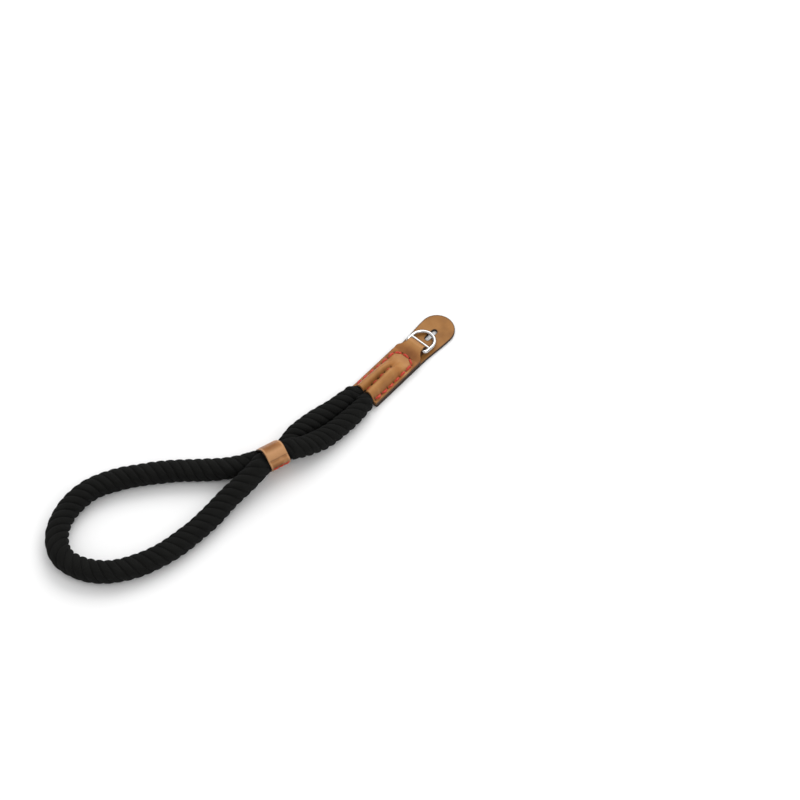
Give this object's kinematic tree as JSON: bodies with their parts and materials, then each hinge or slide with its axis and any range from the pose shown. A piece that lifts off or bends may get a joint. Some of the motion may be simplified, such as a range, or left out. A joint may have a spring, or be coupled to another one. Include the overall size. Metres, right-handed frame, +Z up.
{
  "type": "camera wrist strap",
  "caption": "Hand strap for a small camera: a soft rope wrist loop with a leather keeper, a stitched leather end, a chrome D-ring and a leather guard pad.",
  "frame": {"origin": "on the surface that the strap lies on, under the middle of its bounding box", "axes": "+X from the wrist loop to the guard pad's tip, +Z up, +Y to the left of that"},
  "size_m": [0.2385, 0.0612, 0.0176],
  "materials": {
    "cotton_rope": "matt black laid cotton with fine fuzz",
    "tan_leather": "smooth tan leather, half gloss, dark sealed edges",
    "bright_steel": "polished nickel plate",
    "red_thread": "waxed red thread"
  },
  "bodies": {
    "strap": {"rope_loop": "cotton_rope", "keeper_band": "tan_leather", "end_sleeve": "tan_leather", "lug_pad": "tan_leather"},
    "ring": {"d_ring": "bright_steel"}
  },
  "joints": [
    {"name": "ring_pivot", "type": "hinge", "parent": "strap", "child": "ring", "pos_m": [0.09393, 0.01528, 0.00435], "axis": [0.2957, -0.9553, 0], "range_deg": [0, 110]}
  ]
}
